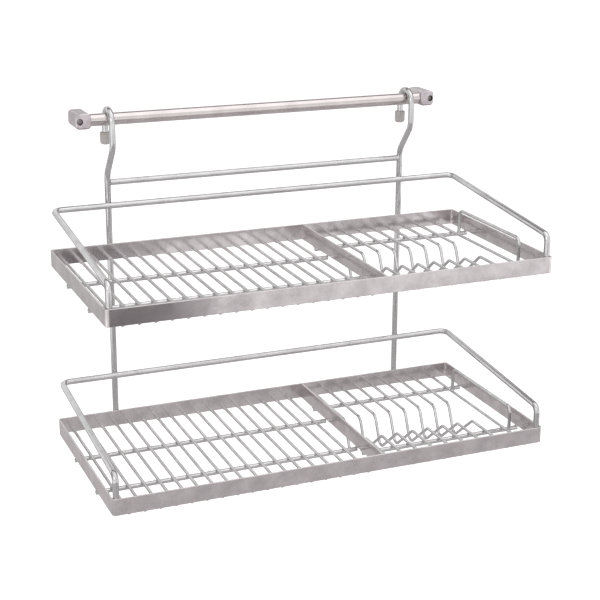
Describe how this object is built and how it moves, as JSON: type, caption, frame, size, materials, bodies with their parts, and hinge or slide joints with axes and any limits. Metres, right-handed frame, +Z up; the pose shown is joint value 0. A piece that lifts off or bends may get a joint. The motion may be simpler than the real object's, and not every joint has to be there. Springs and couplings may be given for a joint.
{
  "type": "wall-mounted dish rack",
  "caption": "Tiered wire dish rack that hooks on a wall rail; each shelf has a drainer side, a plate side with a trough, and a guard wire.",
  "frame": {"origin": "middle of the left bracket's flat face on the wall, level with the rail's axis", "axes": "+X to the right along the rail, +Y into the wall, +Z up; the wall is the plane Y = 0 and the rack stands out towards -Y"},
  "size_m": [0.59, 0.2885, 0.4774],
  "materials": {
    "polished_tube": "bright plate on a steel tube",
    "polished_casting": "bright plate on a metal casting",
    "screw_steel": "plain screw steel",
    "polished_wire": "bright plated steel wire",
    "polished_strip": "bright plated steel strip",
    "grey_cap": "moulded grey cap, satin"
  },
  "bodies": {
    "wall_rail": {"rail_tube": "polished_tube", "left_rail_bracket": "polished_casting", "right_rail_bracket": "polished_casting", "left_wall_screw": "screw_steel", "right_wall_screw": "screw_steel"},
    "rack": {"left_upright": "polished_wire", "right_upright": "polished_wire", "left_hook_tip": "grey_cap", "right_hook_tip": "grey_cap", "left_wall_buffer": "grey_cap", "right_wall_buffer": "grey_cap", "crossbar": "polished_wire", "upper_rim_band": "polished_strip", "upper_divider_strip": "polished_strip", "upper_drainer_grid": "polished_wire", "upper_guard_wire": "polished_wire", "upper_plate_front_bar": "polished_wire", "upper_plate_rear_bar": "polished_wire", "upper_plate_wire_1": "polished_wire", "upper_plate_wire_2": "polished_wire", "upper_plate_wire_3": "polished_wire", "upper_plate_wire_4": "polished_wire", "upper_plate_wire_5": "polished_wire", "upper_plate_wire_6": "polished_wire", "upper_plate_wire_7": "polished_wire", "upper_plate_wire_8": "polished_wire", "upper_plate_end_wire": "polished_wire", "upper_plate_fence": "polished_wire", "lower_rim_band": "polished_strip", "lower_divider_strip": "polished_strip", "lower_drainer_grid": "polished_wire", "lower_guard_wire": "polished_wire", "lower_plate_front_bar": "polished_wire", "lower_plate_rear_bar": "polished_wire", "lower_plate_wire_1": "polished_wire", "lower_plate_wire_2": "polished_wire", "lower_plate_wire_3": "polished_wire", "lower_plate_wire_4": "polished_wire", "lower_plate_wire_5": "polished_wire", "lower_plate_wire_6": "polished_wire", "lower_plate_wire_7": "polished_wire", "lower_plate_wire_8": "polished_wire", "lower_plate_end_wire": "polished_wire", "lower_plate_fence": "polished_wire"}
  },
  "joints": [
    {"name": "rack_swing", "type": "hinge", "parent": "wall_rail", "child": "rack", "pos_m": [0, -0.03, 0], "axis": [-1, 0, 0], "range_deg": [0, 40]}
  ]
}
